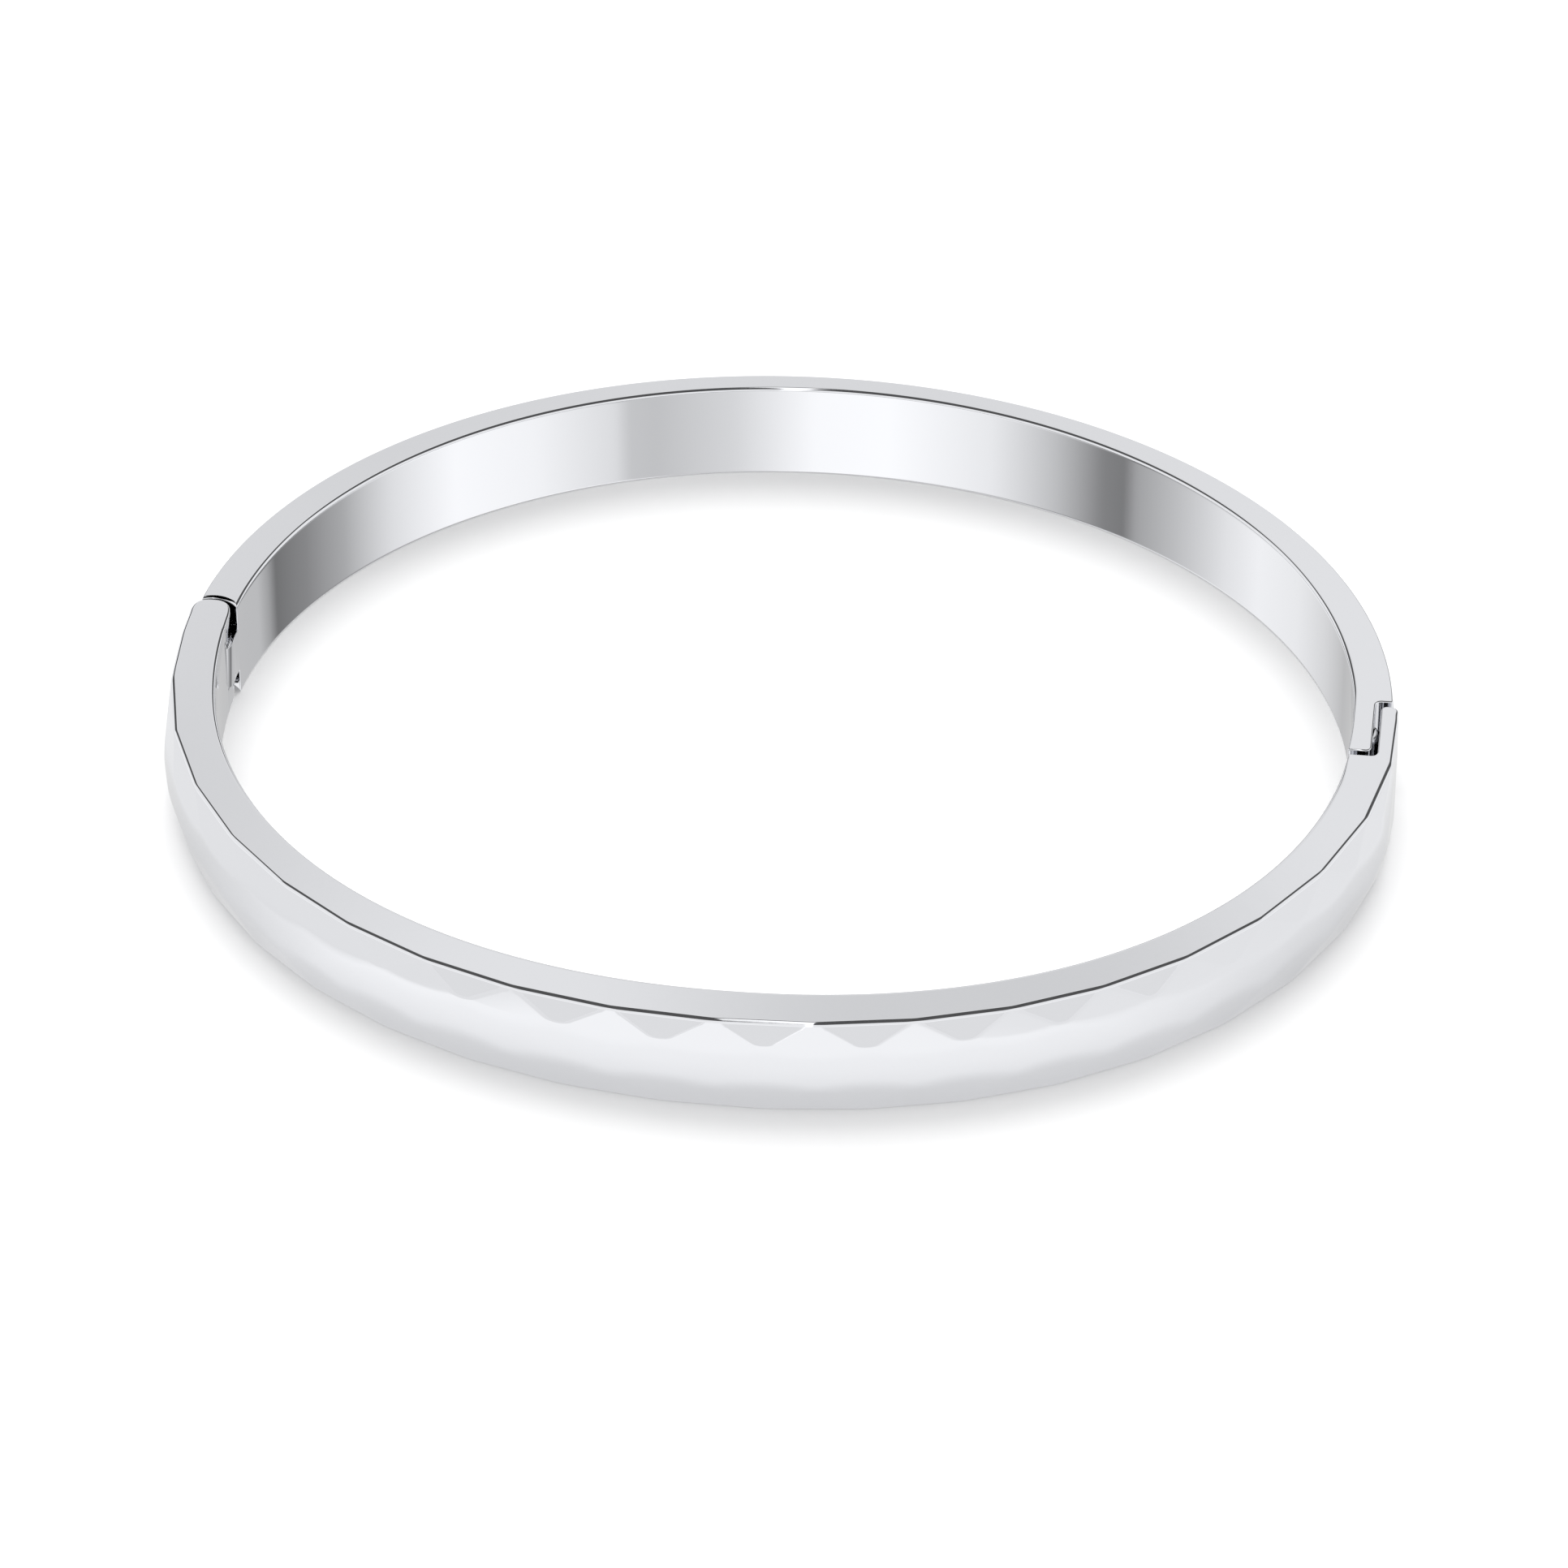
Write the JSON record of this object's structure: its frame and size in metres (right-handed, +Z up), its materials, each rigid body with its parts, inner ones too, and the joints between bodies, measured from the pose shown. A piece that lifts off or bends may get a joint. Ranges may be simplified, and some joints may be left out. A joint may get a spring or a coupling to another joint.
{
  "type": "bangle bracelet",
  "caption": "Hinged oval bangle: diamond-cut front half and plain rear half on a pin hinge, closed by a half-lap snap clasp.",
  "frame": {"origin": "bottom centre of the closed bangle, in the plane it lies on", "axes": "+X from the hinge towards the clasp, along the oval's long way; +Y from the diamond-cut front half towards the plain rear half; +Z up out of the plane the bangle lies on, along the wrist"},
  "size_m": [0.0625, 0.0536, 0.0056],
  "materials": {
    "band_steel": "polished",
    "pin_steel": "polished"
  },
  "bodies": {
    "rear": {"rear_half": "band_steel", "snap_bar": "pin_steel"},
    "front": {"front_half": "band_steel", "hinge_pin": "pin_steel"}
  },
  "joints": [
    {"name": "hinge_open", "type": "hinge", "parent": "rear", "child": "front", "pos_m": [-0.02998, 0.00245, 0.0028], "axis": [0, 0, -1], "range_deg": [0, 85]}
  ]
}
